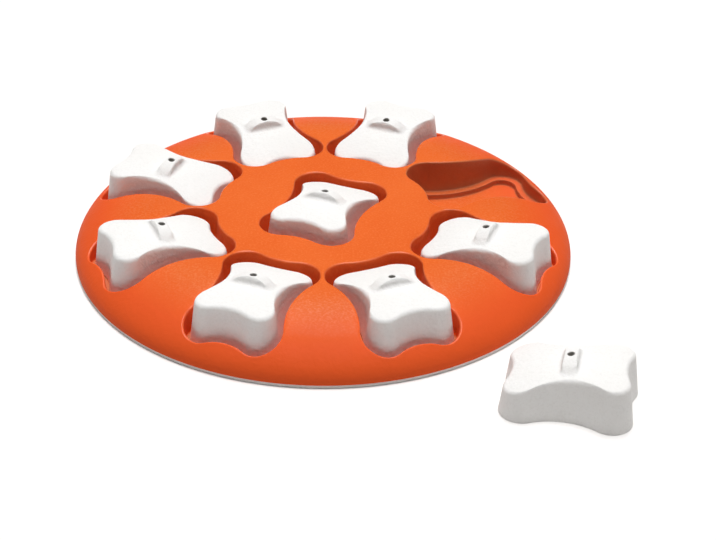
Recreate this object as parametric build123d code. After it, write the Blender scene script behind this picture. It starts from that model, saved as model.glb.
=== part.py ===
"""Dog puzzle feeder: a domed disc with nine bone-shaped treat pockets, nine lift-out
bone blocks that cover them, a base plate and its non-slip feet.

Millimetres, +Z up. The disc's axis is Z and the feet stand on Z = 0.
"""
from build123d import *
from math import atan2, cos, degrees, radians, sin, sqrt, tan
import os

# --- disc ------------------------------------------------------------------------
DISC_R = 140.0
DISC_H = 25.7           # top face above the floor
FLAT_R = 80.0           # flat middle; a quarter ellipse falls from it to the rim
RIM_LAND = 0.6          # straight edge under the ellipse

# --- feet and base plate ---------------------------------------------------------
FOOT_COUNT = 8          # on the ring; one more stands in the middle
FOOT_R = 7.0            # rubber disc
FOOT_T = 1.0
FOOT_SOCKET = 0.6       # depth of the round seat in the plate
FOOT_INSET = 18.0       # middle of a foot in from the disc's rim
PLATE_INSET = 0.2       # plate's edge in from the disc's rim
PLATE_T = 1.6
PLATE_EDGE = 0.4        # chamfer round the plate's rim
PLATE_R = DISC_R - PLATE_INSET
FOOT_RING_R = DISC_R - FOOT_INSET

# --- pockets ---------------------------------------------------------------------
RING_COUNT = 8
RING_R = 95.8           # centre of each ring pocket
RING_START_ANGLE = 22.5  # azimuth of pocket 1
CENTRE_ANGLE = 247.5    # azimuth that the middle block's tall end faces
POCKET_LOBE_X = 24.2    # lobe centre along the pocket
POCKET_LOBE_Y = 14.7    # lobe centre across it
POCKET_LOBE_R = 12.7
POCKET_WAIST = 22.4     # half width at the middle
POCKET_END = 34.5       # half length between the lobes
POCKET_DRAFT = 1.9      # degrees
LEDGE_Z = 6.4           # the shelf a block stands on
LEDGE_W = 3.8
WELL_DEPTH = 3.4        # treat well below the ledge

# --- bone blocks -----------------------------------------------------------------
BLOCK_LOBE_X = 22.9
BLOCK_LOBE_Y = 13.8
BLOCK_LOBE_R = 11.2
BLOCK_WAIST = 18.2
BLOCK_END = 32.0
BLOCK_DRAFT = 4.0       # degrees
BLOCK_H = 24.4          # top of the block at its middle
BLOCK_CROWN_R = 136.0   # ball that crowns the top
BLOCK_CROWN_X = 18.5    # crown's highest point, towards the tall end
BLOCK_EDGE_R = 3.4
BLOCK_WALL = 3.0
BLOCK_ROOF = 3.2
BLOCK_SEAT_GAP = 0.3    # air between block and ledge

# --- arched grip and scent hole --------------------------------------------------
GRIP_L = 23.0           # across the block, where the arch runs out into the top
GRIP_W = 8.4
GRIP_H = 4.6            # at the middle of the arch
GRIP_EDGE_R = 1.6
SCENT_R = 1.7

# --- how the blocks lie ----------------------------------------------------------
BLOCK_SLIP = 0.8        # a nudged block's step off its pocket's middle
NUDGED = {5: (0.0, 1.0), 6: (0.5, 0.875), 8: (1.0, 0.625), 9: (0.5, 1.5)}  # in steps, along X and Y
LOOSE_OUT = 54.4        # block 1's middle beyond the disc's rim
LOOSE_AZIMUTH_ANGLE = -49.86
LOOSE_ANGLE = -12.1


def bone_face(lobe_x, lobe_y, lobe_r, waist, end):
    """Bone outline: four lobe arcs joined by hollow arcs that touch them.

    A hollow arc's centre lies on an axis; its radius makes it pass through the waist
    (or end) point and touch the lobe circles from outside.
    """
    side_r = (lobe_x**2 + (waist - lobe_y)**2 - lobe_r**2) / (2 * (lobe_r + lobe_y - waist))
    end_r = (lobe_y**2 + (end - lobe_x)**2 - lobe_r**2) / (2 * (lobe_r + lobe_x - end))
    to_side = atan2(waist + side_r - lobe_y, -lobe_x)
    to_end = atan2(-lobe_y, end + end_r - lobe_x)
    between = (to_side + to_end) / 2

    def on_lobe(angle, sx, sy):
        return sx * (lobe_x + lobe_r * cos(angle)), sy * (lobe_y + lobe_r * sin(angle))

    edges = []
    for sx, sy in ((1, 1), (-1, 1), (-1, -1), (1, -1)):
        edges.append(ThreePointArc(*(on_lobe(a, sx, sy) for a in (to_end, between, to_side))))
    for sy in (1, -1):
        edges.append(ThreePointArc(on_lobe(to_side, 1, sy), (0, sy * waist), on_lobe(to_side, -1, sy)))
    for sx in (1, -1):
        edges.append(ThreePointArc(on_lobe(to_end, sx, 1), (sx * end, 0), on_lobe(to_end, sx, -1)))
    return make_face(Wire.combine(edges, tol=1e-4)[0])


def pocket_face(inset):
    """Pocket outline, drawn in by inset all round."""
    return bone_face(POCKET_LOBE_X, POCKET_LOBE_Y, POCKET_LOBE_R - inset,
                     POCKET_WAIST - inset, POCKET_END - inset)


def block_face(inset):
    """Block outline, drawn in by inset all round."""
    return bone_face(BLOCK_LOBE_X, BLOCK_LOBE_Y, BLOCK_LOBE_R - inset,
                     BLOCK_WAIST - inset, BLOCK_END - inset)


# --- levels worked out from the sizes --------------------------------------------
plate_z = FOOT_T - FOOT_SOCKET
disc_z = plate_z + PLATE_T
well_z = LEDGE_Z - WELL_DEPTH
dome_z = disc_z + RIM_LAND
dome_fall = DISC_H - dome_z


def pocket_places():
    """Where each pocket sits: the ring first, then the middle."""
    places = []
    for i in range(RING_COUNT):
        turn = RING_START_ANGLE + i * 360 / RING_COUNT
        places.append(Location((RING_R * cos(radians(turn)), RING_R * sin(radians(turn)), 0), (0, 0, turn)))
    places.append(Location((0, 0, 0), (0, 0, CENTRE_ANGLE)))
    return places


def pocket_cutter():
    """Stepped pocket: drafted wall down to the ledge, then the treat well."""
    rim = Pos(0, 0, DISC_H) * pocket_face(0)
    wall = extrude(rim, amount=DISC_H - LEDGE_Z, dir=(0, 0, -1), taper=POCKET_DRAFT)
    mouth = extrude(rim, amount=1.0, dir=(0, 0, 1))
    foot_inset = (DISC_H - LEDGE_Z) * tan(radians(POCKET_DRAFT))
    shelf = Pos(0, 0, LEDGE_Z) * pocket_face(foot_inset + LEDGE_W)
    well = extrude(shelf, amount=WELL_DEPTH, dir=(0, 0, -1), taper=POCKET_DRAFT)
    return mouth + wall + well


def make_disc(places):
    """Turned dome with a stepped pocket at each place."""
    profile = Polyline((FLAT_R, DISC_H), (0, DISC_H), (0, disc_z), (DISC_R, disc_z), (DISC_R, dome_z))
    fall = EllipticalCenterArc((FLAT_R, dome_z), DISC_R - FLAT_R, dome_fall, start_angle=0, arc_size=90)
    half = Plane.XZ * make_face(Wire.combine([*profile.edges(), *fall.edges()], tol=1e-4)[0])
    disc = revolve(half, Axis.Z)
    cutter = pocket_cutter()
    for place in places:
        disc -= place * cutter
    return disc


def make_block():
    """Hollow bone block with a crowned, sloping top, an arched grip and a scent hole."""
    crown_z = BLOCK_H + BLOCK_CROWN_R - sqrt(BLOCK_CROWN_R**2 - BLOCK_CROWN_X**2)
    ball_z = crown_z - BLOCK_CROWN_R
    outer = extrude(block_face(0), amount=crown_z + 1, taper=BLOCK_DRAFT)
    outer &= Pos(BLOCK_CROWN_X, 0, ball_z) * Sphere(BLOCK_CROWN_R)
    crown = outer.faces().filter_by(GeomType.SPHERE)
    outer = fillet(crown.edges(), BLOCK_EDGE_R)
    inner = extrude(block_face(BLOCK_WALL), amount=crown_z + 1, taper=BLOCK_DRAFT)
    inner &= Pos(BLOCK_CROWN_X, 0, ball_z) * Sphere(BLOCK_CROWN_R - BLOCK_ROOF)

    slope = degrees(atan2(BLOCK_CROWN_X, BLOCK_H - ball_z))
    seat = Location((0, 0, BLOCK_H), (0, -slope, 0))
    arch_r = (GRIP_L**2 / 4 + GRIP_H**2) / (2 * GRIP_H)
    arch = Pos(0, 0, GRIP_H - arch_r) * Rot(0, 90, 0) * Cylinder(arch_r, GRIP_W)
    arch = fillet(arch.edges().filter_by(GeomType.CIRCLE), GRIP_EDGE_R)
    slab = Box(GRIP_W, 2 * arch_r, GRIP_H + BLOCK_ROOF / 2, align=(Align.CENTER, Align.CENTER, Align.MIN))
    grip = seat * (arch & Pos(0, 0, -BLOCK_ROOF / 2) * slab)
    hole = seat * Cylinder(SCENT_R, 4 * (GRIP_H + BLOCK_ROOF))
    return outer + grip - inner - hole


def make_plate(feet):
    """Base plate with a round seat under each foot."""
    plate = Pos(0, 0, plate_z) * Cylinder(PLATE_R, PLATE_T, align=(Align.CENTER, Align.CENTER, Align.MIN))
    plate = chamfer(plate.edges().group_by(Axis.Z)[0], PLATE_EDGE)
    seat = Cylinder(FOOT_R, FOOT_SOCKET, align=(Align.CENTER, Align.CENTER, Align.MIN))
    for foot in feet:
        plate -= foot * Pos(0, 0, plate_z) * seat
    return plate


def main():
    places = pocket_places()
    feet = [*PolarLocations(FOOT_RING_R, FOOT_COUNT), Location()]
    parts = {"disc": make_disc(places), "base_plate": make_plate(feet)}
    foot = Cylinder(FOOT_R, FOOT_T, align=(Align.CENTER, Align.CENTER, Align.MIN))
    for i, spot in enumerate(feet, 1):
        parts[f"foot_{i}"] = spot * foot
    block = make_block()
    seated = Pos(0, 0, LEDGE_Z + BLOCK_SEAT_GAP)
    loose_r = DISC_R + LOOSE_OUT
    loose_x, loose_y = (loose_r * f(radians(LOOSE_AZIMUTH_ANGLE)) for f in (cos, sin))
    for i, place in enumerate(places, 1):
        step_x, step_y = NUDGED.get(i, (0, 0))
        slip = Pos(step_x * BLOCK_SLIP, step_y * BLOCK_SLIP, 0)
        spot = slip * place * seated if i > 1 else Location((loose_x, loose_y, 0), (0, 0, LOOSE_ANGLE))
        parts[f"bone_{i}"] = spot * block
    os.makedirs("parts", exist_ok=True)
    for name, shape in parts.items():
        export_step(shape, f"parts/{name}.step")
        print(name, round(shape.volume), "mm3", [round(v, 1) for v in shape.bounding_box().size])


main()
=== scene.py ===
# %% [markdown]
# # Dressing a dog puzzle feeder
#
# The toy is a thick orange disc, domed towards its rim, with nine bone-shaped pockets. A hollow
# white bone block covers each pocket, and a dog noses the blocks out to reach the treats under
# them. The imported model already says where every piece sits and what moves. This script keeps
# those places and sizes, and gives each piece a smooth surface and a finish.
#
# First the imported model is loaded. Its outer box is kept, because the dressed toy has to stay
# inside it.

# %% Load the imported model
import math

import bmesh
import bpy
import numpy as np
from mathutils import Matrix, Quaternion, Vector


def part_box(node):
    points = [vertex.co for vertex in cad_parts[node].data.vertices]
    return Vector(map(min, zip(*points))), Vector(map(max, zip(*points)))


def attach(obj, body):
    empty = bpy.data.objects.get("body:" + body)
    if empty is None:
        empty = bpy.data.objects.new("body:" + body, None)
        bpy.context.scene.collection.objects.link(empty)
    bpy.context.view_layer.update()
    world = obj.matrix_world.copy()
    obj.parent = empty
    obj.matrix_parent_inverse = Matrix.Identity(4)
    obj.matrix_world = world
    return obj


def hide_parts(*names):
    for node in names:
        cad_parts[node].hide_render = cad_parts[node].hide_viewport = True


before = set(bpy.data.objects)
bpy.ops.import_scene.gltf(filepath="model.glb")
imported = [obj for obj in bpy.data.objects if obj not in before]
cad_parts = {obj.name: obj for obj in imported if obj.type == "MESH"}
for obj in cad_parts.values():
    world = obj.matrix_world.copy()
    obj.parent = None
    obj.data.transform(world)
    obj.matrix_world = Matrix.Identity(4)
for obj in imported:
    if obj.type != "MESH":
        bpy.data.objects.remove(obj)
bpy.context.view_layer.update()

MM = 0.001

# %% [markdown]
# ## The sizes that shape the toy
#
# A maker writes each size once, and everything else follows from it. The disc's radius and
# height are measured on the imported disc, so they can't drift away from it. The rest are the
# mould's own sizes in metres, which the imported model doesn't store as numbers.

# %% Sizes of the disc and its pockets
disc_low, disc_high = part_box("disc")
DISC_R = (disc_high[0] - disc_low[0]) / 2
DISC_TOP = disc_high[2]
DISC_BOTTOM = disc_low[2]
FLAT_R = 80 * MM                 # the top is flat out to here, then falls to the rim
RIM_LAND = 0.6 * MM              # short upright edge under the fall
RING_COUNT = 8                   # pockets of the ring; one more lies in the middle
RING_R = 95.8 * MM               # how far out the ring pockets stand
RING_START = math.radians(22.5)  # where the first one stands
CENTRE_TURN = math.radians(247.5)  # where the tall end of the middle block points
POCKET = dict(lobe_x=24.2 * MM, lobe_y=14.7 * MM, lobe_r=12.7 * MM, waist=22.4 * MM, end=34.5 * MM)
POCKET_DRAFT = math.tan(math.radians(1.9))
LEDGE_Z = 6.4 * MM               # the shelf a block stands on
LEDGE_W = 3.8 * MM
WELL_Z = 3.0 * MM                # floor of the treat well
print("disc radius", round(DISC_R / MM, 2), "top", round(DISC_TOP / MM, 2), "mm")

# %% Sizes of a bone block
BLOCK = dict(lobe_x=22.6 * MM, lobe_y=13.6 * MM, lobe_r=11.4 * MM, waist=19.1 * MM, end=31.5 * MM)
BLOCK_DRAFT = math.tan(math.radians(7.2))
BLOCK_H = 24.4 * MM              # height at the middle
CROWN_R = 136 * MM               # the top is a piece of a ball of this radius
CROWN_X = 18.5 * MM              # its highest point, towards the tall end
BLOCK_WALL = 3.0 * MM
BLOCK_ROOF = 3.2 * MM
GRIP_L, GRIP_W, GRIP_H = 23 * MM, 8.4 * MM, 4.6 * MM
SCENT_R = 1.75 * MM              # the hole that lets the smell of the treat out
LOOSE_TURN = math.radians(-12.1)  # how block 1 lies on the floor
print("blocks", sum(name.startswith("bone_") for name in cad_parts))

# %% [markdown]
# ## A bone outline
#
# Seen from above, the blocks and pockets are one figure in two sizes: four round lobes joined
# by four hollow arcs. It could be drawn by hand as a curve, but arcs that touch each other are
# exact, and they also give the outward direction at every point, which the walls, ledges and
# rounded edges are measured along. Only a quarter is worked out. Mirroring gives the rest.

# %% Bone outline
def bone_outline(where, lobe_x, lobe_y, lobe_r, waist, end):
    """Points and outward directions at the fractions `where` of the way round.

    A lobe is centre + lobe_r (cos a, sin a). A hollow arc has its centre on an axis, and the
    radius that makes it touch the lobes: (distance^2 - lobe_r^2) / (2 (lobe_r + gap)).
    """
    side_r = (lobe_x**2 + (waist - lobe_y)**2 - lobe_r**2) / (2 * (lobe_r + lobe_y - waist))
    end_r = (lobe_y**2 + (end - lobe_x)**2 - lobe_r**2) / (2 * (lobe_r + lobe_x - end))
    from_end = math.atan2(-lobe_y, end + end_r - lobe_x)
    to_side = math.atan2(waist + side_r - lobe_y, -lobe_x)
    lengths = np.cumsum([0, -end_r * from_end, lobe_r * (to_side - from_end),
                         side_r * (to_side - math.pi / 2)])

    quarter = np.floor(where * 4).astype(int) % 4
    part = where * 4 % 1
    length = np.where(quarter % 2 == 1, 1 - part, part) * lengths[3]
    angle_end = math.pi - (length - lengths[0]) / end_r
    angle_lobe = from_end + (length - lengths[1]) / lobe_r
    angle_side = to_side - math.pi - (length - lengths[2]) / side_r
    on_end, on_side = length < lengths[1], length > lengths[2]
    angle = np.where(on_end, angle_end, np.where(on_side, angle_side, angle_lobe))
    radius = np.where(on_end, end_r, np.where(on_side, side_r, lobe_r))
    centre_x = np.where(on_end, end + end_r, np.where(on_side, 0, lobe_x))
    centre_y = np.where(on_end, 0, np.where(on_side, waist + side_r, lobe_y))
    away = np.where(on_end | on_side, -1, 1)

    mirror = np.stack([np.where((quarter == 1) | (quarter == 2), -1, 1),
                       np.where(quarter > 1, -1, 1)], axis=-1)
    spot = np.stack([centre_x + radius * np.cos(angle), centre_y + radius * np.sin(angle)], axis=-1)
    out = np.stack([away * np.cos(angle), away * np.sin(angle)], axis=-1)
    return spot * mirror, out * mirror


def round_outline(where, radius):
    """Points and outward directions round a circle: radius (cos a, sin a)."""
    angle = where * 2 * math.pi
    out = np.stack([np.cos(angle), np.sin(angle)], axis=-1)
    return radius * out, out


spots, outs = bone_outline(np.linspace(0, 1, 8, endpoint=False), **BLOCK)
print("block outline in mm", np.round(spots / MM, 1).tolist())

# %% [markdown]
# ## Carrying a section round an outline
#
# Every moulded piece here is one section swept round an outline: up a wall, over an edge,
# across a top. A sweep tool or a bevel would do it too, but the top falls away under the
# edges, so a bevel would change width. Here each corner of the section is a whole ring of
# points. Runs join the rings, and each corner is rounded with a true arc of the radius that a
# mould cutter would leave. Every ring also gets two marks for the finish to use later: how
# exposed it is, highest in the middle of a rounded corner, and how much painted shade it
# takes, where a mark below zero asks for painted bounce light instead.

# %% Points of a section
TINY = 1e-12                     # keeps a division by nothing away


def unit(v):
    """Each row divided by its own length."""
    return v / np.maximum(np.linalg.norm(v, axis=-1, keepdims=True), TINY)


def run_point(start, finish, s, lay):
    """(1 - s) start + s finish, dropped onto the surface z = lay(x, y) where there is one."""
    spot = start + (finish - start) * s
    if lay is not None:
        spot = np.concatenate([spot[:, :2], lay(spot[:, 0], spot[:, 1])[:, None]], axis=1)
    return spot


def ring_at(spots, outs, inset, z):
    """A ring drawn in from the outline by inset, at height z: spot - inset * outward direction."""
    inset = np.broadcast_to(inset, len(spots))
    z = np.broadcast_to(z, len(spots))
    return np.column_stack([spots - inset[:, None] * outs, z])


print("5 mm in from the first point", np.round(ring_at(spots, outs, 5 * MM, 0)[0] / MM, 1).tolist())

# %% Section carried round
PROBE = 0.02                     # how far along a run its direction at the corner is looked at
MOST_CUT = 0.48                  # share of a run that one rounded corner may take
STRAIGHT = 0.999                 # cosine of the straightest and sharpest corner that is rounded


def carry(corners, radii, steps, lays, closed, arc_steps=6, shade_paint=()):
    """Rings of points along a section with rounded corners, and each ring's two marks.

    A rounded corner C between tangent points A and B is the circle arc
    ((1-s)^2 A + 2 w s(1-s) C + s^2 B) / ((1-s)^2 + 2 w s(1-s) + s^2), with w = sin(half the
    corner's angle) and A and B at radius / tan(half the angle) from C. Exposed is 4 s (1-s)
    on the arc and 0 elsewhere. The painted-shade mark goes evenly between the pair given for
    each run.
    There are steps[i] faces along run i, and arc_steps along each arc.
    """
    count = len(corners)
    runs = count if closed else count - 1
    lengths = [np.linalg.norm(corners[(i + 1) % count] - corners[i], axis=1) for i in range(runs)]
    start_cut = [np.zeros(len(corners[0])) for _ in range(runs)]
    end_cut = [np.ones(len(corners[0])) for _ in range(runs)]
    weight = {}
    for i in range(0 if closed else 1, count if closed else count - 1):
        before, after = (i - 1) % count, i
        near = run_point(corners[before], corners[i], 1 - PROBE, lays[before]) - corners[i]
        far = run_point(corners[i], corners[(i + 1) % count], PROBE, lays[after]) - corners[i]
        cosine = np.clip((unit(near) * unit(far)).sum(axis=1), -STRAIGHT, STRAIGHT)
        tangent = radii[i] * np.sqrt((1 + cosine) / (1 - cosine))
        end_cut[before] = 1 - np.minimum(tangent / lengths[before], MOST_CUT)
        start_cut[after] = np.minimum(tangent / lengths[after], MOST_CUT)
        weight[i] = np.sqrt((1 - cosine) / 2)[:, None]

    shade_paint = list(shade_paint) or [(0.0, 0.0)] * runs
    rings, marks = [], []
    for i in range(count):
        if i in weight:
            before = (i - 1) % count
            a = run_point(corners[before], corners[i], end_cut[before][:, None], lays[before])
            b = run_point(corners[i], corners[(i + 1) % count], start_cut[i][:, None], lays[i])
            for s in np.linspace(0, 1, arc_steps + 1):
                pull = 2 * weight[i] * s * (1 - s)
                arc = (1 - s)**2 * a + pull * corners[i] + s**2 * b
                rings.append(arc / ((1 - s)**2 + pull + s**2))
                marks.append((4 * s * (1 - s), (1 - s) * shade_paint[before][1] + s * shade_paint[i][0]))
        else:
            rings.append(corners[i])
            marks.append((0.0, shade_paint[0][0] if i == 0 else shade_paint[-1][1]))
        if i < runs:
            for s in np.linspace(0, 1, steps[i] + 1)[1:-1]:
                marks.append((0.0, (1 - s) * shade_paint[i][0] + s * shade_paint[i][1]))
                s = start_cut[i] + (end_cut[i] - start_cut[i]) * s
                rings.append(run_point(corners[i], corners[(i + 1) % count], s[:, None], lays[i]))
    return np.stack(rings), np.array(marks)


sample = [ring_at(spots, outs, inset * MM, z * MM) for inset, z in ((0, 0), (0, 10), (5, 10))]
sample_rings, _ = carry(sample, [0, 2 * MM, 0], steps=[1, 1], lays=[None, None], closed=False)
print("a wall, a rounded edge and a shelf make", len(sample_rings), "rings")

# %% [markdown]
# ## From rings to a mesh
#
# A grid of points becomes faces by joining each point to its neighbours along the ring and
# along the section. Blender could skin the rings with a loft tool, but index arithmetic on a
# whole array does it at once. Points that fall on each other, such as where two fields meet
# or a floor closes, are merged, so the surface has no open seam. The marks go into the mesh
# as attributes, which a material can read.

# %% Rings to mesh
MERGE = 0.001 * MM               # points nearer than this are one point
# the first mark rubs edges paler, as wear and partly a painted highlight; the second is painted
# shade, and below zero painted bounce light
MARKS = ("exposed", "painted_shade_mark")


def grid_faces(rings, count, close_section):
    """Quads between ring i and ring i + 1: (i, j), (i, j + 1), (i + 1, j + 1), (i + 1, j)."""
    joins = rings if close_section else rings - 1
    i, j = np.meshgrid(np.arange(joins), np.arange(count), indexing="ij")
    nearer, further = i * count, (i + 1) % rings * count
    side = (j + 1) % count
    corners = [nearer + j, nearer + side, further + side, further + j]
    return np.stack(corners, axis=-1).reshape(-1, 4)


def make_piece(name, fields):
    """One closed mesh object from fields of rings: each is (rings, marks, close_section).

    Ring i, point j of a field is vertex offset + i * count + j.
    """
    points, quads, marks = [], [], []
    offset = 0
    for rings, ring_marks, close_section in fields:
        points.append(rings.reshape(-1, 3))
        quads.append(grid_faces(rings.shape[0], rings.shape[1], close_section) + offset)
        marks.append(np.repeat(ring_marks, rings.shape[1], axis=0))
        offset += rings.shape[0] * rings.shape[1]
    mesh = bpy.data.meshes.new(name)
    mesh.from_pydata(np.concatenate(points).tolist(), [], np.concatenate(quads).tolist())
    for column, mark in enumerate(MARKS):
        values = np.ascontiguousarray(np.concatenate(marks)[:, column])
        mesh.attributes.new(mark, "FLOAT", "POINT").data.foreach_set("value", values)
    shell = bmesh.new()
    shell.from_mesh(mesh)
    bmesh.ops.remove_doubles(shell, verts=shell.verts, dist=MERGE)
    bmesh.ops.recalc_face_normals(shell, faces=shell.faces)
    open_edges = sum(not edge.is_manifold for edge in shell.edges)
    shell.to_mesh(mesh)
    shell.free()
    mesh.polygons.foreach_set("use_smooth", np.ones(len(mesh.polygons), dtype=bool))
    piece = bpy.data.objects.new(name, mesh)
    bpy.context.collection.objects.link(piece)
    print(name, len(mesh.polygons), "faces,", open_edges, "open edges")
    return piece


print("3 rings of 4 points make", len(grid_faces(3, 4, close_section=False)), "faces")

# %% [markdown]
# ## The disc's skin
#
# From the side the disc is flat in the middle and then falls to the rim along a quarter of an
# ellipse. A ball would fall away too early, and the toy would look like a cushion. The height
# depends only on the distance from the axis, so any point of the plan finds its height alone.

# %% Height of the skin
FALL_W = DISC_R - FLAT_R
FALL_Z = DISC_BOTTOM + RIM_LAND
FALL_H = DISC_TOP - FALL_Z


def way_out(x, y):
    """0 on the flat, then (distance from the axis - FLAT_R) / FALL_W, up to 1 at the rim."""
    return np.clip((np.hypot(x, y) - FLAT_R) / FALL_W, 0, 1)


def skin_height(x, y):
    """Flat, then top - fall (1 - sqrt(1 - u^2)), where u is the way out."""
    return DISC_TOP - FALL_H * (1 - np.sqrt(1 - way_out(x, y)**2))


print("skin at 130 mm", round(float(skin_height(0.13, 0.0)) / MM, 2), "mm")

# %% [markdown]
# ## Fields round the pockets
#
# The plan is cut like a cake: one slice for each ring pocket, and a round field in the middle.
# In a slice, every ray from the pocket's middle crosses the pocket's edge once and the
# slice's border once, so a grid can run along the rays. That keeps the faces even and puts
# them where the form turns. Filling the plan with triangles would be quicker to write, but
# its uneven faces show in the highlights. The two sides of a slice mirror each other, so it
# fits its neighbours point for point.

# %% Slice borders and sampling
TURN = 2 * math.pi
SLICE = TURN / RING_COUNT
HALF_SLICE = SLICE / 2
TABLE_SIZE = 4001                # points looked up to find where an outline faces a direction
NEVER = 1e-9                     # a ray this nearly along a side doesn't meet it


def slice_border(direction, out_r, half, inner_r, outer_r):
    """Distance along each ray from (out_r, 0) to the slice's border.

    Side: out_r tan(half) / (|sin d| - cos d tan(half)). Circle of radius R:
    -out_r cos d +- sqrt(R^2 - (out_r sin d)^2). The nearest one ahead counts.
    """
    sine, cosine = np.abs(np.sin(direction)), np.cos(direction)
    slope = sine - cosine * math.tan(half)
    meets = slope > NEVER
    side = np.where(meets, out_r * math.tan(half) / np.where(meets, slope, 1), np.inf)
    outer = -out_r * cosine + np.sqrt(outer_r**2 - (out_r * sine)**2)
    under = inner_r**2 - (out_r * sine)**2
    inner = np.where((under > 0) & (cosine < 0),
                     -out_r * cosine - np.sqrt(np.maximum(under, 0)), np.inf)
    return np.minimum(np.minimum(side, outer), inner)


def turn_of(spots):
    """Direction of each point from the middle, atan2(y, x), counted up from 0 to a full turn."""
    return np.unwrap(np.arctan2(spots[:, 1], spots[:, 0]))


def fractions_facing(outline, direction):
    """Where round the outline each direction meets it, read between the points of a table."""
    table = np.linspace(0, 1, TABLE_SIZE)
    return np.interp(direction, turn_of(outline(table)[0]), table)


def slice_samples(outline, out_r, half, inner_r, outer_r, counts):
    """Fractions of the outline, evenly spaced between the rays through the slice's corners.

    A corner lies at (r cos(half) - out_r, r sin(half)) from the middle of the outline.
    """
    corner = [math.atan2(r * math.sin(half), r * math.cos(half) - out_r)
              for r in (outer_r, inner_r)]
    far, near = fractions_facing(outline, np.array(corner))
    stops = [-far, far, near, 1 - near, 1 - far]
    spans = [np.linspace(a, b, n, endpoint=False) for a, b, n in zip(stops, stops[1:], counts)]
    return np.concatenate(spans)


def turned(rings, angle, shift=0.0):
    """Moved out along X by shift, then turned about Z: (x cos a - y sin a, x sin a + y cos a)."""
    x, y = rings[..., 0] + shift, rings[..., 1]
    c, s = math.cos(angle), math.sin(angle)
    return np.stack([x * c - y * s, x * s + y * c, rings[..., 2]], axis=-1)


print("a slice is", round(math.degrees(SLICE), 1), "degrees wide")

# %% [markdown]
# ## One pocket
#
# A pocket has a wall with a little draft, so that it leaves the mould, a ledge that carries
# the block, and a shallow well that hides the treat. Its section is the same all round, except
# that it starts at the skin, which is lower towards the rim. The start is found by trying a
# height, looking at the skin there and trying again, three times.
#
# The open pocket gets a painted shade, duller and darker, on its wall, ledge and well.
# Under a block the top of the wall gets a painted deeper red-orange for light bounced round
# the pocket, which a mark below zero says, and its ledge and well get painted shade.

# %% Pocket section
WALL_FOOT = (DISC_TOP - LEDGE_Z) * POCKET_DRAFT
LIP_ROUND = 1.0 * MM
FOOT_ROUND = 0.9 * MM
LEDGE_ROUND = 0.5 * MM
LIP_TRIES = 3
# painted shade at the start and end of each run, and below zero painted bounce light:
# skin, wall, ledge, well's wall, well's floor
OPEN = [(0, 0), (0.6, 1), (0.25, 0.2), (0.8, 0.9), (0.1, 0)]
COVERED = [(0, 0), (-0.55, -0.3), (0.7, 0.7), (0.7, 0.7), (0.7, 0.7)]


def pocket_rings(spots, outs, border, skin, shade_paint):
    """Rings from the border, over the lip, down the wall, across the ledge and into the well.

    At a depth d below the disc's top the wall stands d tan(draft) in from the outline.
    """
    lip = ring_at(spots, outs, 0.0, DISC_TOP)
    for _ in range(LIP_TRIES):
        inset = (DISC_TOP - skin(lip[:, 0], lip[:, 1])) * POCKET_DRAFT
        lip = ring_at(spots, outs, inset, skin(lip[:, 0], lip[:, 1]))
    well_edge = WALL_FOOT + LEDGE_W
    well_foot = well_edge + (LEDGE_Z - WELL_Z) * POCKET_DRAFT
    corners = [border, lip,
               ring_at(spots, outs, WALL_FOOT, LEDGE_Z),
               ring_at(spots, outs, well_edge, LEDGE_Z),
               ring_at(spots, outs, well_foot, WELL_Z),
               np.tile([0.0, 0.0, WELL_Z], (len(spots), 1))]
    radii = [0, LIP_ROUND, FOOT_ROUND, LEDGE_ROUND, FOOT_ROUND, 0]
    return carry(corners, radii, steps=[9, 4, 2, 2, 5], lays=[skin, None, None, None, None],
                 closed=False, arc_steps=4, shade_paint=shade_paint)


print("the wall draws in by", round(WALL_FOOT / MM, 2), "mm down to the ledge")

# %% [markdown]
# ## The disc
#
# The eight slices, the middle field, the last of the fall and the flat underside are joined
# into one closed moulding. It also gets a third mark, `fallen`, which says how far down the
# fall a point lies, because a deeper colour is painted there as shade and the sheen sits at
# its top.

# %% Build the disc
INNER_R = 48 * MM                # border between the slices and the middle field
OUTER_R = 136 * MM               # border between the slices and the rim
SLICE_COUNTS = (56, 60, 24, 60)  # samples: outer arc, side, inner arc, side
FALL_RINGS = 11                  # rings of the last of the fall, beyond OUTER_R
UNDER_ROUND = 0.25 * MM


def pocket_outline(where):
    """The bone outline in the pocket's size."""
    return bone_outline(where % 1, **POCKET)


def ring_slice(shade_paint):
    """Rings of one slice, about its own pocket, and their marks.

    A point of the border is reach (cos d, sin d) in the direction d.
    """
    where = slice_samples(pocket_outline, RING_R, HALF_SLICE, INNER_R, OUTER_R, SLICE_COUNTS)
    spots, outs = pocket_outline(where)
    direction = np.arctan2(spots[:, 1], spots[:, 0])
    reach = slice_border(direction, RING_R, HALF_SLICE, INNER_R, OUTER_R)
    flat = reach[:, None] * np.column_stack([np.cos(direction), np.sin(direction)])

    def skin(x, y):
        """The skin's height, measured from the pocket's middle."""
        return skin_height(x + RING_R, y)

    border = np.column_stack([flat, skin(flat[:, 0], flat[:, 1])])
    return pocket_rings(spots, outs, border, skin, shade_paint)


def arc_angles(rings, first, count):
    """Angles atan2(y, x + RING_R), seen from the disc's axis, of some of the border points."""
    border = rings[0, np.arange(first, first + count) % rings.shape[1]]
    return np.arctan2(border[:, 1], border[:, 0] + RING_R)


slice_rings, open_marks = ring_slice(OPEN)
_, covered_marks = ring_slice(COVERED)
disc_fields = []
for k in range(RING_COUNT):
    marks = open_marks if k == 0 else covered_marks
    disc_fields.append((turned(slice_rings, RING_START + k * SLICE, RING_R), marks, False))

outer_arc = arc_angles(slice_rings, 0, SLICE_COUNTS[0])
inner_arc = arc_angles(slice_rings, SLICE_COUNTS[0] + SLICE_COUNTS[1], SLICE_COUNTS[2])[::-1]
slice_turns = RING_START + np.arange(RING_COUNT)[:, None] * SLICE
print("slice", slice_rings.shape[:2], "inner arc", np.degrees(inner_arc[[0, -1]]).round(2))

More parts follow.
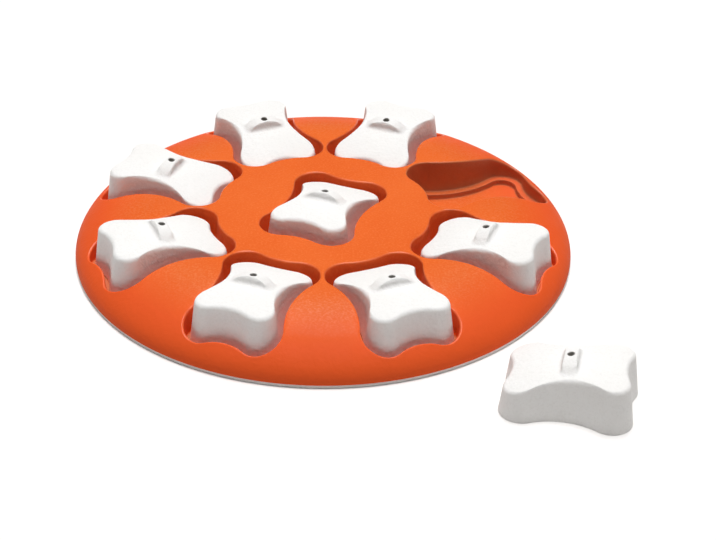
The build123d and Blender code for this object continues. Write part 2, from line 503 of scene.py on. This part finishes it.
# %% Middle field, rim and underside
middle_turn = np.sort(((slice_turns + inner_arc).ravel() - CENTRE_TURN) % TURN)
middle_where = fractions_facing(pocket_outline, middle_turn)
middle_spots, middle_outs = pocket_outline(middle_where)
middle_border = np.column_stack([INNER_R * np.cos(middle_turn), INNER_R * np.sin(middle_turn),
                                 np.full(len(middle_turn), DISC_TOP)])
middle_rings, middle_marks = pocket_rings(middle_spots, middle_outs, middle_border,
                                          skin_height, COVERED)
disc_fields.append((turned(middle_rings, CENTRE_TURN), middle_marks, False))

rim_turn = (slice_turns + outer_arc).ravel()
rim_out = np.column_stack([np.cos(rim_turn), np.sin(rim_turn)])
fall_start = math.acos((OUTER_R - FLAT_R) / FALL_W)
fall_angle = np.linspace(fall_start, 0, FALL_RINGS)
fall_rings = np.stack([np.column_stack([(FLAT_R + FALL_W * math.cos(a)) * rim_out,
                                        np.full(len(rim_turn), FALL_Z + FALL_H * math.sin(a))])
                       for a in fall_angle])
under = [fall_rings[-1],
         np.column_stack([DISC_R * rim_out, np.full(len(rim_turn), DISC_BOTTOM)]),
         np.tile([0.0, 0.0, DISC_BOTTOM], (len(rim_turn), 1))]
under_rings, _ = carry(under, [0, UNDER_ROUND, 0], [2, 8], [None, None],
                       closed=False, arc_steps=3)
for rings in (fall_rings, under_rings):
    disc_fields.append((rings, np.zeros((len(rings), len(MARKS))), False))

disc = make_piece("disc_moulding", disc_fields)
disc_points = np.empty(len(disc.data.vertices) * 3)
disc.data.vertices.foreach_get("co", disc_points)
fallen = way_out(*disc_points.reshape(-1, 3)[:, :2].T)
disc.data.attributes.new("fallen", "FLOAT", "POINT").data.foreach_set("value", fallen)
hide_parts("disc")
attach(disc, "board")

# %% [markdown]
# ## A bone block
#
# One block is a single closed surface with no pole: the section climbs the outer wall, rounds
# the edge, crosses the crowned top, climbs the arched grip, dives through the scent hole, and
# comes back along the ceiling and the inner wall. Modelling half of it and solidifying it
# would be quicker, but then the grip would be hollow too and the walls would lean wrongly.

# %% Grip outline and arch
def grip_outline(where, half_x, half_y, corner):
    """A rectangle with round corners, met from its middle along X first.

    Each quarter is half a straight side, a corner arc and half the other side, by length.
    """
    straight_x, straight_y = half_x - corner, half_y - corner
    quarter = np.floor(where * 4).astype(int) % 4
    part = where * 4 % 1
    arc = corner * math.pi / 2
    length = np.where(quarter % 2 == 1, 1 - part, part) * (straight_y + arc + straight_x)
    angle = np.clip((length - straight_y) / corner, 0, math.pi / 2)
    x = straight_x + corner * np.cos(angle) - np.maximum(length - straight_y - arc, 0)
    y = np.minimum(length, straight_y) + corner * np.sin(angle)
    sign_x = np.where((quarter == 1) | (quarter == 2), -1, 1)
    sign_y = np.where(quarter > 1, -1, 1)
    return np.column_stack([x * sign_x, y * sign_y])


ARCH_R = (GRIP_L**2 / 4 + GRIP_H**2) / (2 * GRIP_H)


def arch_rise(y):
    """How far the grip stands above the leaning top: sqrt(R^2 - y^2) - (R - H)."""
    return np.sqrt(ARCH_R**2 - y**2) - (ARCH_R - GRIP_H)


CROWN_Z = BLOCK_H - math.sqrt(CROWN_R**2 - CROWN_X**2)


def crown_height(x, y, drop=0.0):
    """The top as a ball: centre height + sqrt((R - drop)^2 - (x - CROWN_X)^2 - y^2)."""
    return CROWN_Z + np.sqrt((CROWN_R - drop)**2 - (x - CROWN_X)**2 - y**2)


def ceiling_height(x, y):
    """The ball of the top, one roof's thickness smaller."""
    return crown_height(x, y, BLOCK_ROOF)


print("the grip rises", round(float(arch_rise(0.0)) / MM, 2), "mm at its middle")

# %% Block section
LEAN = math.atan2(CROWN_X, BLOCK_H - CROWN_Z)
GRIP_UP = np.array([-math.sin(LEAN), 0.0, math.cos(LEAN)])
GRIP_ACROSS = np.array([math.cos(LEAN), 0.0, math.sin(LEAN)])
GRIP_ALONG = np.array([0.0, 1.0, 0.0])
BLOCK_SAMPLES = 192
WALL_TRIES = 4


def on_grip(flat, height):
    """Points of the grip: across and along the leaning top, then up its normal by height."""
    spot = flat[:, :1] * GRIP_ACROSS + flat[:, 1:] * GRIP_ALONG
    return spot + np.reshape(height, (-1, 1)) * GRIP_UP + np.array([0.0, 0.0, BLOCK_H])


def arch_height(x, y):
    """The grip's top over the plan: H + x tan(lean) + rise / cos(lean)."""
    return BLOCK_H + x * math.tan(LEAN) + arch_rise(y) / math.cos(LEAN)


def wall_meets(surface, spots, outs, inset):
    """Ring where a drafted wall meets a surface: inset grows by the draft as the wall climbs."""
    ring = ring_at(spots, outs, inset, BLOCK_H)
    for _ in range(WALL_TRIES):
        z = surface(ring[:, 0], ring[:, 1])
        ring = ring_at(spots, outs, inset + z * BLOCK_DRAFT, z)
    return ring


def dropped(flat, surface):
    """A ring of the plan laid on a surface: z = surface(x, y)."""
    return np.column_stack([flat[:, :2], surface(flat[:, 0], flat[:, 1])])


def block_rings():
    """Rings of the closed section: out at the foot, over the top, down the hole and back inside.

    The grip's foot is a little larger than the grip and its top edge a little smaller.
    """
    where = np.linspace(0, 1, BLOCK_SAMPLES, endpoint=False)
    spots, outs = bone_outline(where, **BLOCK)
    foot = grip_outline(where, GRIP_W / 2 + 0.2 * MM, GRIP_L / 2 + 1.0 * MM, corner=3.0 * MM)
    edge = grip_outline(where, GRIP_W / 2 - 0.6 * MM, GRIP_L / 2 - 2.4 * MM, corner=2.2 * MM)
    hole, _ = round_outline(where, SCENT_R)
    hole_end = dropped(on_grip(hole, -BLOCK_ROOF), ceiling_height)
    # each corner: its ring, its radius in mm, the surface its run lies on, and the run's painted
    # shade, which darkens the scent hole and the inside of the block
    section = [(ring_at(spots, outs, 0.0, 0.0), 0.5, None, (0, 0)),
               (wall_meets(crown_height, spots, outs, 0.0), 2.6, crown_height, (0, 0)),
               (dropped(on_grip(foot, 0.0), crown_height), 3.4, None, (0, 0)),
               (on_grip(edge, arch_rise(edge[:, 1])), 3.2, arch_height, (0, 0)),
               (on_grip(hole, arch_rise(hole[:, 1])), 0.5, None, (0.6, 1)),
               (hole_end, 0.3, ceiling_height, (0.2, 0.2)),
               (wall_meets(ceiling_height, spots, outs, BLOCK_WALL), 1.5, None, (0.1, 0.1)),
               (ring_at(spots, outs, BLOCK_WALL, 0.0), 0.4, None, (0, 0))]
    corners, radii, lays, shade_paint = zip(*section)
    return carry(corners, np.array(radii) * MM, steps=[5, 10, 4, 4, 5, 8, 4, 2], lays=lays,
                 closed=True, shade_paint=shade_paint)


block_shape, block_marks = block_rings()
print("block rings", block_shape.shape)

# %% Set the blocks in place
BLOCK_COUNT = RING_COUNT + 1


def block_place(number):
    """Middle and base of a block, read from its packed box, and its turn about Z."""
    low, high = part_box(f"bone_{number}")
    if number == 1:
        turn = LOOSE_TURN
    elif number <= RING_COUNT:
        turn = RING_START + (number - 1) * SLICE
    else:
        turn = CENTRE_TURN
    return (low[0] + high[0]) / 2, (low[1] + high[1]) / 2, low[2], turn


blocks = []
for number in range(1, BLOCK_COUNT + 1):
    x, y, z, turn = block_place(number)
    placed = turned(block_shape, turn) + np.array([x, y, z])
    block = make_piece(f"bone_block_{number}", [(placed, block_marks, True)])
    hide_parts(f"bone_{number}")
    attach(block, f"block_{number}")
    blocks.append(block)

# %% [markdown]
# ## The base plate and its feet
#
# The underside is a thin pale plate with shallow round seats, and a rubber foot sits in each:
# eight in a ring and one in the middle. It uses the same slices as the disc, with a circle in
# place of the bone. A plain disc with the feet pushed into it would look the same from above,
# but not when the toy is turned over.

# %% Plate
plate_low, plate_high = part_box("base_plate")
PLATE_R = (plate_high[0] - plate_low[0]) / 2
foot_low, foot_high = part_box("foot_1")
FOOT_R = (foot_high[0] - foot_low[0]) / 2
FOOT_RING_R = (foot_high[0] + foot_low[0]) / 2
SEAT_TOP = foot_high[2]
PLATE_BOTTOM = plate_low[2]
SEAT_R = FOOT_R + 0.15 * MM      # a foot has a little room in its seat
SEAT_RADII = [0, 0.2 * MM, 0.1 * MM, 0]
PLATE_INNER_R = 90 * MM
PLATE_OUTER_R = 136 * MM
PLATE_COUNTS = (24, 20, 20, 20)  # samples: outer arc, side, inner arc, side


def seat_outline(where):
    """A circle a little larger than a foot."""
    return round_outline(where % 1, SEAT_R)


def seat_rings(spots, outs, border):
    """Rings from the border, over the seat's edge, up its wall and across its floor."""
    corners = [border, ring_at(spots, outs, 0.0, PLATE_BOTTOM), ring_at(spots, outs, 0.0, SEAT_TOP),
               np.tile([0.0, 0.0, SEAT_TOP], (len(spots), 1))]
    return carry(corners, SEAT_RADII, [5, 2, 3], [None] * 3, closed=False, arc_steps=3)


where = slice_samples(seat_outline, FOOT_RING_R, HALF_SLICE, PLATE_INNER_R, PLATE_OUTER_R,
                      PLATE_COUNTS)
spots, outs = seat_outline(where)
direction = np.arctan2(spots[:, 1], spots[:, 0])
reach = slice_border(direction, FOOT_RING_R, HALF_SLICE, PLATE_INNER_R, PLATE_OUTER_R)
border = np.column_stack([reach * np.cos(direction), reach * np.sin(direction),
                          np.full(len(reach), PLATE_BOTTOM)])
plate_slice, plate_marks = seat_rings(spots, outs, border)
plate_fields = [(turned(plate_slice, k * SLICE, FOOT_RING_R), plate_marks, False)
                for k in range(RING_COUNT)]
print("plate slice", plate_slice.shape)

# %% Middle of the plate and its rim
PLATE_CHAMFER = 0.2 * MM
PLATE_ROUND = 0.15 * MM
seat_arc = np.arctan2(plate_slice[0, :, 1], plate_slice[0, :, 0] + FOOT_RING_R)
first = PLATE_COUNTS[0] + PLATE_COUNTS[1]
inner_arc = seat_arc[first:first + PLATE_COUNTS[2]][::-1]
plate_turns = np.arange(RING_COUNT)[:, None] * SLICE
seat_turn = np.sort((plate_turns + inner_arc).ravel() % TURN)
spots, outs = seat_outline(seat_turn / TURN)
border = np.column_stack([PLATE_INNER_R * outs, np.full(len(outs), PLATE_BOTTOM)])
plate_fields.append((*seat_rings(spots, outs, border), False))

rim_turn = (plate_turns + seat_arc[:PLATE_COUNTS[0]]).ravel()
rim_out = np.column_stack([np.cos(rim_turn), np.sin(rim_turn)])


def plate_ring(radius, z):
    """A ring of the plate's rim: radius (cos a, sin a), at height z."""
    return np.column_stack([radius * rim_out, np.full(len(rim_out), z)])


rim = [plate_ring(PLATE_OUTER_R, PLATE_BOTTOM), plate_ring(PLATE_R - PLATE_CHAMFER, PLATE_BOTTOM),
       plate_ring(PLATE_R, PLATE_BOTTOM + PLATE_CHAMFER), plate_ring(PLATE_R, plate_high[2]),
       plate_ring(0.1 * MERGE, plate_high[2])]
rim_rings, rim_marks = carry(rim, [0, PLATE_ROUND, PLATE_ROUND, PLATE_ROUND, 0], [2, 1, 2, 6],
                             [None] * 4, closed=False, arc_steps=3)
plate_fields.append((rim_rings, rim_marks, False))
plate = make_piece("base_plate_moulding", plate_fields)
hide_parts("base_plate")
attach(plate, "board")

# %% [markdown]
# ## The feet
#
# Each foot is a small rubber disc with a rounded edge. A cylinder with a bevel would do. The
# carried section is used again, because it closes both ends the same way.

# %% Feet
FOOT_COUNT = RING_COUNT + 1      # a foot under each slice, and one in the middle
FOOT_SAMPLES = 64
FOOT_RADII = [0, 0.35 * MM, 0.1 * MM, 0]


def foot_rings():
    """A turned section: out along the bottom, up the round edge and back to the axis."""
    where = np.linspace(0, 1, FOOT_SAMPLES, endpoint=False)
    spots, outs = round_outline(where, FOOT_R)
    low, high = foot_low[2], foot_high[2]
    corners = [np.tile([0.0, 0.0, low], (len(where), 1)), ring_at(spots, outs, 0.0, low),
               ring_at(spots, outs, 0.0, high), np.tile([0.0, 0.0, high], (len(where), 1))]
    return carry(corners, FOOT_RADII, [5, 2, 3], [None] * 3, closed=False)


foot_shape, foot_marks = foot_rings()
feet = []
for number in range(1, FOOT_COUNT + 1):
    low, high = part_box(f"foot_{number}")
    middle = np.array([(low[0] + high[0]) / 2, (low[1] + high[1]) / 2, 0.0])
    foot = make_piece(f"rubber_foot_{number}", [(foot_shape + middle, foot_marks, False)])
    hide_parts(f"foot_{number}")
    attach(foot, "board")
    feet.append(foot)

# %% [markdown]
# ## Finishes
#
# The disc and blocks are moulded from a dense, dry plastic with a fine matte grain. A plain
# colour would look like a screen drawing, so each finish is built from noise at several sizes:
# fine grain that only bends the light, small flecks, and wide soft clouds. An image would
# need a flat layout of every piece. Noise in the object's own coordinates needs none, and it
# stays put when a piece moves.

# %% Small helpers for a finish
def link(tree, source, target):
    """A wire from one socket to another."""
    tree.links.new(source, target)


def noise(tree, where, scale, detail, roughness=0.5):
    """Blender's noise, from 0 to 1, with about `scale` waves to the metre."""
    node = tree.nodes.new("ShaderNodeTexNoise")
    node.inputs["Scale"].default_value = scale
    node.inputs["Detail"].default_value = detail
    node.inputs["Roughness"].default_value = roughness
    link(tree, where, node.inputs["Vector"])
    return node.outputs["Fac"]


def mark(tree, name):
    """A value that is stored on the mesh: exposed, the painted-shade mark, or fallen."""
    node = tree.nodes.new("ShaderNodeAttribute")
    node.attribute_name = name
    return node.outputs["Fac"]


def remap(tree, value, low, high, to_low=0.0, to_high=1.0):
    """to_low + (value - low) / (high - low) (to_high - to_low), held inside its ends."""
    node = tree.nodes.new("ShaderNodeMapRange")
    link(tree, value, node.inputs["Value"])
    ends = {"From Min": low, "From Max": high, "To Min": to_low, "To Max": to_high}
    for name, number in ends.items():
        node.inputs[name].default_value = number
    return node.outputs["Result"]


def maths(tree, operation, a, b):
    """a times b, or a plus b. Each is a socket or a number."""
    node = tree.nodes.new("ShaderNodeMath")
    node.operation = operation
    for socket, value in zip(node.inputs, (a, b)):
        if isinstance(value, float):
            socket.default_value = value
        else:
            link(tree, value, socket)
    return node.outputs["Value"]


def mix(tree, factor, a, b):
    """(1 - factor) a + factor b, for colours."""
    node = tree.nodes.new("ShaderNodeMix")
    node.data_type = "RGBA"
    link(tree, factor, node.inputs["Factor"])
    for socket, colour in zip((node.inputs["A"], node.inputs["B"]), (a, b)):
        if isinstance(colour, tuple):
            socket.default_value = (*colour, 1.0)
        else:
            link(tree, colour, socket)
    return node.outputs["Result"]


def linear(*levels):
    """Screen levels 0 to 255 as light: ((c / 255 + 0.055) / 1.055)^2.4."""
    return tuple(((c / 255 + 0.055) / 1.055)**2.4 if c > 10 else c / 255 / 12.92 for c in levels)


print("orange as light", np.round(linear(237, 109, 46), 3).tolist())

# %% [markdown]
# ## The moulded plastic
#
# The marks on the mesh steer the finish. Where a point is exposed, the colour rubs a little
# paler, as wear and partly as a painted highlight on the edges. Where the second mark is above
# zero the colour takes a painted shade, duller and darker, and below zero a painted deeper
# red-orange for light bounced round the pockets. Down the disc's fall a deeper colour is painted
# in as shade. A thin clear coat gives the disc two sheens: a broken one where the fall begins,
# and a fine bright line along the pockets' lips. One glossy plastic all over would be simpler,
# but its flat middle would shine too.

# %% A moulded plastic
# the third scale breaks the paler edges, wear and partly painted highlight, into patches
CLOUDS, FLECKS, WEAR_AND_HIGHLIGHT, GLOSS = 28.0, 820.0, 160.0, 60.0   # waves to the metre
FINE, WAVY, FINE_SHARE = 760.0, 420.0, 0.6               # the two noises of the grain
GRAIN_DEPTH = 0.35 * MM
LIP_FROM, LIP_FULL = 8 * MM, 11 * MM                     # ledges lie lower, lips lie higher


def coat_of_sheen(tree, where, shader):
    """Coat = rise fade glint + exposed above the ledges, for the sheens of the disc."""
    rise = remap(tree, mark(tree, "fallen"), 0.0, 0.3)
    fade = remap(tree, mark(tree, "fallen"), 0.42, 0.7, 0.42, 0.0)
    glint = remap(tree, noise(tree, where, FLECKS, 2.0, 0.6), 0.38, 0.66, 0.4, 1.7)
    broken = maths(tree, "MULTIPLY", maths(tree, "MULTIPLY", rise, fade), glint)
    height = tree.nodes.new("ShaderNodeSeparateXYZ")
    link(tree, where, height.inputs["Vector"])
    above = remap(tree, height.outputs["Z"], LIP_FROM, LIP_FULL)
    lip = maths(tree, "MULTIPLY", mark(tree, "exposed"), above)
    link(tree, maths(tree, "ADD", broken, lip), shader.inputs["Coat Weight"])
    shader.inputs["Coat Roughness"].default_value = 0.3


def moulded_plastic(name, colour, deep, pale_wear_and_highlight, fleck, painted_shade, roughness, grain, specular=0.2,
                    fallen=None, painted_bounce=None):
    """Matte moulded plastic: a chain of mixes for the colour, then gloss, then grain.

    Grain height = FINE_SHARE fine noise + wavy noise.
    """
    material = bpy.data.materials.new(name)
    material.use_nodes = True
    tree = material.node_tree
    shader = tree.nodes["Principled BSDF"]
    where = tree.nodes.new("ShaderNodeTexCoord").outputs["Object"]

    # wide clouds of the deeper colour, with small flecks over them
    base = mix(tree, remap(tree, noise(tree, where, CLOUDS, 3.0), 0.3, 0.7), colour, deep)
    specks = remap(tree, noise(tree, where, FLECKS, 2.0, 0.6), 0.48, 0.72, 0.0, 0.6)
    base = mix(tree, specks, base, fleck)
    if fallen:
        # painted shade: a deeper colour down the fall
        base = mix(tree, remap(tree, mark(tree, "fallen"), 0.35, 0.8), base, fallen)
        coat_of_sheen(tree, where, shader)
    # edges rubbed paler in patches, as wear and partly a painted highlight; painted shade where
    # the second mark is above zero, and painted bounce light below zero
    patchy = remap(tree, noise(tree, where, WEAR_AND_HIGHLIGHT, 3.0), 0.35, 0.7, 0.0, 0.5)
    base = mix(tree, maths(tree, "MULTIPLY", mark(tree, "exposed"), patchy), base, pale_wear_and_highlight)
    base = mix(tree, remap(tree, mark(tree, "painted_shade_mark"), 0.0, 1.0), base, painted_shade)
    if painted_bounce:
        base = mix(tree, remap(tree, mark(tree, "painted_shade_mark"), 0.0, -1.0), base, painted_bounce)
    link(tree, base, shader.inputs["Base Color"])
    # the roughness drifts a little to either side
    gloss = noise(tree, where, GLOSS, 4.0)
    link(tree, remap(tree, gloss, 0.3, 0.7, roughness - 0.05, roughness + 0.06),
         shader.inputs["Roughness"])
    shader.inputs["Specular IOR Level"].default_value = specular

    # grain that only bends the light
    fine = maths(tree, "MULTIPLY", noise(tree, where, FINE, 3.0, 0.65), FINE_SHARE)
    bump = tree.nodes.new("ShaderNodeBump")
    bump.inputs["Strength"].default_value = grain
    bump.inputs["Distance"].default_value = GRAIN_DEPTH
    link(tree, maths(tree, "ADD", fine, noise(tree, where, WAVY, 2.0)), bump.inputs["Height"])
    link(tree, bump.outputs["Normal"], shader.inputs["Normal"])
    print("material", name)
    return material


# %% [markdown]
# ## The four finishes
#
# The orange is warm and nearly without gloss. The white is chalky, with the strongest grain.
# The plate is a cooler grey of the same plastic, and the feet are a soft dull rubber.

# %% Finishes of the pieces
# painted light in the orange: the shade colour is painted shade in the pockets, the fallen colour
# is painted shade down the fall, and the last colour is a painted deeper red-orange of bounced
# light
orange = moulded_plastic("matte_orange", colour=linear(237, 109, 46), deep=linear(233, 102, 40),
                         pale_wear_and_highlight=linear(246, 134, 72), fleck=linear(243, 127, 66),
                         painted_shade=linear(198, 138, 104), roughness=0.52, grain=0.6, specular=0.05,
                         fallen=linear(236, 92, 42), painted_bounce=linear(252, 90, 46))
# the white's shade colour is painted shade down the scent hole and inside the block
white = moulded_plastic("matte_white", colour=linear(252, 251, 249), deep=linear(249, 247, 244),
                        pale_wear_and_highlight=linear(254, 253, 253), fleck=linear(242, 240, 237),
                        painted_shade=linear(150, 143, 134), roughness=0.58, grain=0.9)
grey = moulded_plastic("matte_grey", colour=linear(240, 237, 234), deep=linear(233, 229, 225),
                       pale_wear_and_highlight=linear(246, 244, 241), fleck=linear(222, 217, 212),
                       painted_shade=linear(170, 164, 158), roughness=0.6, grain=0.5)
rubber = moulded_plastic("soft_rubber", colour=linear(214, 211, 205), deep=linear(203, 199, 192),
                         pale_wear_and_highlight=linear(226, 224, 219), fleck=linear(188, 184, 178),
                         painted_shade=linear(150, 146, 140), roughness=0.8, grain=0.8)
for finish, pieces in ((orange, [disc]), (grey, [plate]), (white, blocks), (rubber, feet)):
    for piece in pieces:
        piece.data.materials.append(finish)

# %% [markdown]
# ## Floor and sky
#
# The toy stands on a plain pale floor that takes light like paper, so its shadows stay. The
# floor's own glow and the white sky reach only the camera. To the toy the sky is nearly dark,
# and what fills the shade is the light that the floor throws back up at the toy's fronts. A
# bright sky would be the usual way, but it would wash the shade out of the pockets.

# %% Floor
FLOOR_HALF = 6.0
PAPER = (0.89, 0.87, 0.855, 1)
PAPER_GLOW = 0.11
WHITE = (1, 1, 1, 1)
floor_mesh = bpy.data.meshes.new("studio_floor")
floor_corners = [(x * FLOOR_HALF, y * FLOOR_HALF, 0)
                 for x, y in ((-1, -1), (1, -1), (1, 1), (-1, 1))]
floor_mesh.from_pydata(floor_corners, [], [(0, 1, 2, 3)])
floor = bpy.data.objects.new("studio_floor", floor_mesh)
bpy.context.collection.objects.link(floor)

paper = bpy.data.materials.new("white_paper")
paper.use_nodes = True
paper_shader = paper.node_tree.nodes["Principled BSDF"]
paper_shader.inputs["Base Color"].default_value = PAPER
paper_shader.inputs["Roughness"].default_value = 0.9
paper_shader.inputs["Specular IOR Level"].default_value = 0.1
paper_shader.inputs["Emission Color"].default_value = WHITE
seen_by = paper.node_tree.nodes.new("ShaderNodeLightPath")
glow = maths(paper.node_tree, "MULTIPLY", seen_by.outputs["Is Camera Ray"], PAPER_GLOW)
link(paper.node_tree, glow, paper_shader.inputs["Emission Strength"])
floor_mesh.materials.append(paper)
print("floor", 2 * FLOOR_HALF, "m across")

# %% Sky
SKY_FILL = 0.03
SKY_COLOUR = (1.0, 0.99, 0.98, 1)
scene = bpy.context.scene
scene.view_settings.view_transform = "Standard"
world = bpy.data.worlds.new("studio_sky")
scene.world = world
world.use_nodes = True
sky = world.node_tree
fill = sky.nodes["Background"]
fill.inputs["Color"].default_value = SKY_COLOUR
fill.inputs["Strength"].default_value = SKY_FILL
backdrop = sky.nodes.new("ShaderNodeBackground")
backdrop.inputs["Color"].default_value = WHITE
ray = sky.nodes.new("ShaderNodeLightPath")
choose = sky.nodes.new("ShaderNodeMixShader")
link(sky, ray.outputs["Is Camera Ray"], choose.inputs["Fac"])
link(sky, fill.outputs["Background"], choose.inputs[1])
link(sky, backdrop.outputs["Background"], choose.inputs[2])
link(sky, choose.outputs["Shader"], sky.nodes["World Output"].inputs["Surface"])
print("sky fill", SKY_FILL)

# %% [markdown]
# ## Lamps
#
# One wide lamp stands nearly overhead. It makes the tops bright, and its width keeps the
# shadows soft. A weak second lamp from behind draws the sheen on the near fall. A lamp from
# the camera's side would flatten the blocks, whose fronts have to stay grey.

# %% Lamps
def add_sun(name, strength, angle, towards):
    """A lamp so far off that its light is even; the angle is how wide it looks, and how soft."""
    lamp = bpy.data.lights.new(name, "SUN")
    lamp.energy = strength
    lamp.angle = math.radians(angle)
    holder = bpy.data.objects.new(name, lamp)
    holder.rotation_euler = Vector(towards).to_track_quat("-Z", "Y").to_euler()
    bpy.context.collection.objects.link(holder)
    print(name, strength)


add_sun("top_lamp", strength=3.05, angle=32, towards=(-0.02, -0.09, -1.0))
add_sun("back_lamp", strength=0.3, angle=25, towards=(0.0, -0.559, -0.829))

# %% [markdown]
# ## Camera
#
# The camera looks down from the front at a little over 30 degrees, from more than a metre
# away. The lens is long, so that the far blocks aren't much smaller than the near ones.

# %% Camera
CAMERA_AT = (7.12 * MM, -963.26 * MM, 585.25 * MM)
CAMERA_LOOKS = (0.01113, 0.84843, -0.52919)
CAMERA_ROLL = math.radians(0.827)
CAMERA_LENS, CAMERA_FILM = 99.47, 36
camera = bpy.data.cameras.new("camera")
camera.sensor_width = CAMERA_FILM
camera.lens = CAMERA_LENS
viewer = bpy.data.objects.new("camera", camera)
viewer.location = CAMERA_AT
upright = Vector(CAMERA_LOOKS).to_track_quat("-Z", "Y")
viewer.rotation_euler = (upright @ Quaternion((0, 0, 1), CAMERA_ROLL)).to_euler()
bpy.context.collection.objects.link(viewer)
scene.camera = viewer
print("camera", np.round(np.array(CAMERA_AT) / MM).tolist(), "mm")
